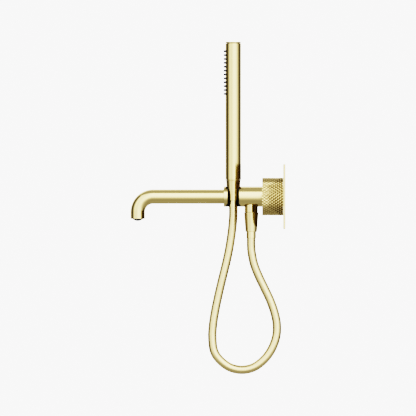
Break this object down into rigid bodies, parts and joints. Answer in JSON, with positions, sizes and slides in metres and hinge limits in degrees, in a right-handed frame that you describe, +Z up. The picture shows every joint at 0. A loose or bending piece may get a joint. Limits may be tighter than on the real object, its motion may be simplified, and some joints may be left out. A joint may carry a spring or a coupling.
{
  "type": "wall mounted bath mixer",
  "caption": "Wall mounted bath mixer: rectangular plate, knurled round knobs, spout with a holder slot, stick hand shower on a looped hose.",
  "frame": {"origin": "on the spout's axis, in the wall plane at the back of the plate", "axes": "+Y goes into the wall and the spout points to -Y; +Z is up; +X is to the right of a person who faces the wall"},
  "size_m": [0.3, 0.2478, 0.5305],
  "materials": {
    "gold_metal": "pale gold finish on brass, polished to a soft satin",
    "plain_brass": "machined, not plated",
    "screw_steel": "plain stainless steel",
    "black_plastic": "satin black moulded plastic",
    "black_silicone": "matte black silicone",
    "grey_plastic": "grey moulded plastic",
    "white_plastic": "white moulded plastic",
    "seal_rubber": "black rubber",
    "seal_foam": "closed-cell foam rubber",
    "gold_hose": "smooth gold-coloured flexible hose with a satin shine"
  },
  "bodies": {
    "root": {"wall_plate": "gold_metal", "spout_body": "gold_metal", "spout_pipe": "gold_metal", "hose_outlet": "gold_metal", "lower_hose_nut": "gold_metal", "lower_hose_fitting": "gold_metal", "mixer_sleeve": "gold_metal", "diverter_sleeve": "gold_metal", "spout_inlet_nipple": "plain_brass", "aerator_housing": "plain_brass", "mixer_cartridge_nut": "plain_brass", "diverter_cartridge_nut": "plain_brass", "spout_body_screw": "screw_steel", "holder_liner": "black_plastic", "aerator_insert": "grey_plastic", "mixer_cartridge": "grey_plastic", "diverter_cartridge": "grey_plastic", "check_valve": "white_plastic", "spout_body_seal": "seal_rubber", "aerator_seal": "seal_rubber", "lower_hose_washer": "seal_rubber", "wall_gasket": "seal_foam", "shower_hose": "gold_hose"},
    "mixer_handle": {"mixer_knob": "gold_metal", "mixer_knob_hub": "plain_brass", "mixer_knob_screw": "screw_steel", "mixer_spindle": "plain_brass"},
    "diverter_handle": {"diverter_knob": "gold_metal", "diverter_knob_hub": "plain_brass", "diverter_knob_screw": "screw_steel", "diverter_spindle": "plain_brass"},
    "hose_end": {"upper_hose_fitting": "gold_metal"},
    "hand_shower": {"shower_connector": "gold_metal", "shower_tube": "gold_metal", "shower_end_cap": "gold_metal", "nozzle_strip": "black_silicone", "shower_insert": "white_plastic", "shower_feed_tube": "white_plastic", "upper_hose_nut": "gold_metal", "upper_hose_washer": "seal_rubber"}
  },
  "joints": [
    {"name": "mixer_turn", "type": "hinge", "parent": "root", "child": "mixer_handle", "pos_m": [0.075, -0.0372, 0], "axis": [0, -1, 0], "range_deg": [0, 120]},
    {"name": "diverter_turn", "type": "hinge", "parent": "root", "child": "diverter_handle", "pos_m": [-0.075, -0.0372, 0], "axis": [0, -1, 0], "range_deg": [0, 90]},
    {"name": "hand_shower_lift", "type": "slide", "parent": "root", "child": "hose_end", "axis": [0, 0, 1], "range_m": [0, 0.034]},
    {"name": "hand_shower_turn", "type": "hinge", "parent": "hose_end", "child": "hand_shower", "pos_m": [0.0028, -0.0835, 0], "axis": [0, 0, 1], "continuous": true}
  ]
}
